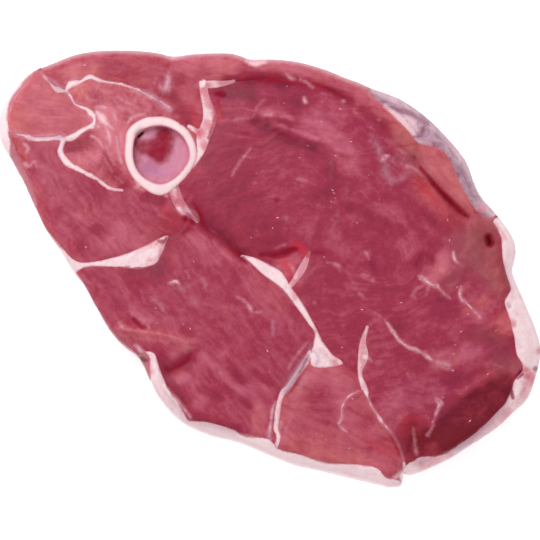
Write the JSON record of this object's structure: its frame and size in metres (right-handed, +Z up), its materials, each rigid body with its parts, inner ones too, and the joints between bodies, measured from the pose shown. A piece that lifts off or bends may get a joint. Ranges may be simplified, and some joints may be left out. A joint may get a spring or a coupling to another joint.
{
  "type": "bone-in lamb leg steak",
  "caption": "Raw lamb leg steak cut across the leg, with a round marrow bone, muscles parted by white seams, and fat along its edge.",
  "frame": {"origin": "centre of the bounding box at its lowest level, on the surface that the steak lies on", "axes": "+Z up through the thickness, +X from the narrow tip to the broad end, +Y towards the straight upper edge"},
  "size_m": [0.1612, 0.1308, 0.0231],
  "materials": {
    "lean": "moist raw lamb, fine grained",
    "fat": "firm white fat with a slight moist sheen",
    "silverskin": "thin shiny membrane over fat",
    "bone": "sawn bone, smooth and damp",
    "marrow": "soft wet marrow with blood"
  },
  "bodies": {
    "root": {"bone": "bone", "marrow": "marrow", "knuckle_tip": "lean", "knuckle_top": "lean", "knuckle_inner": "lean", "knuckle_lower": "lean", "cap_strip": "lean", "cap_flap": "lean", "topside": "lean", "silverside": "lean", "eye_round": "lean", "left_skin": "fat", "fat_cap": "fat", "rim_fat": "fat", "silverskin": "silverskin", "wedge_fat": "fat", "knuckle_seam": "fat", "bone_fat": "fat", "bone_gristle": "silverskin", "centre_seam": "fat", "eye_seam": "fat"}
  },
  "joints": []
}
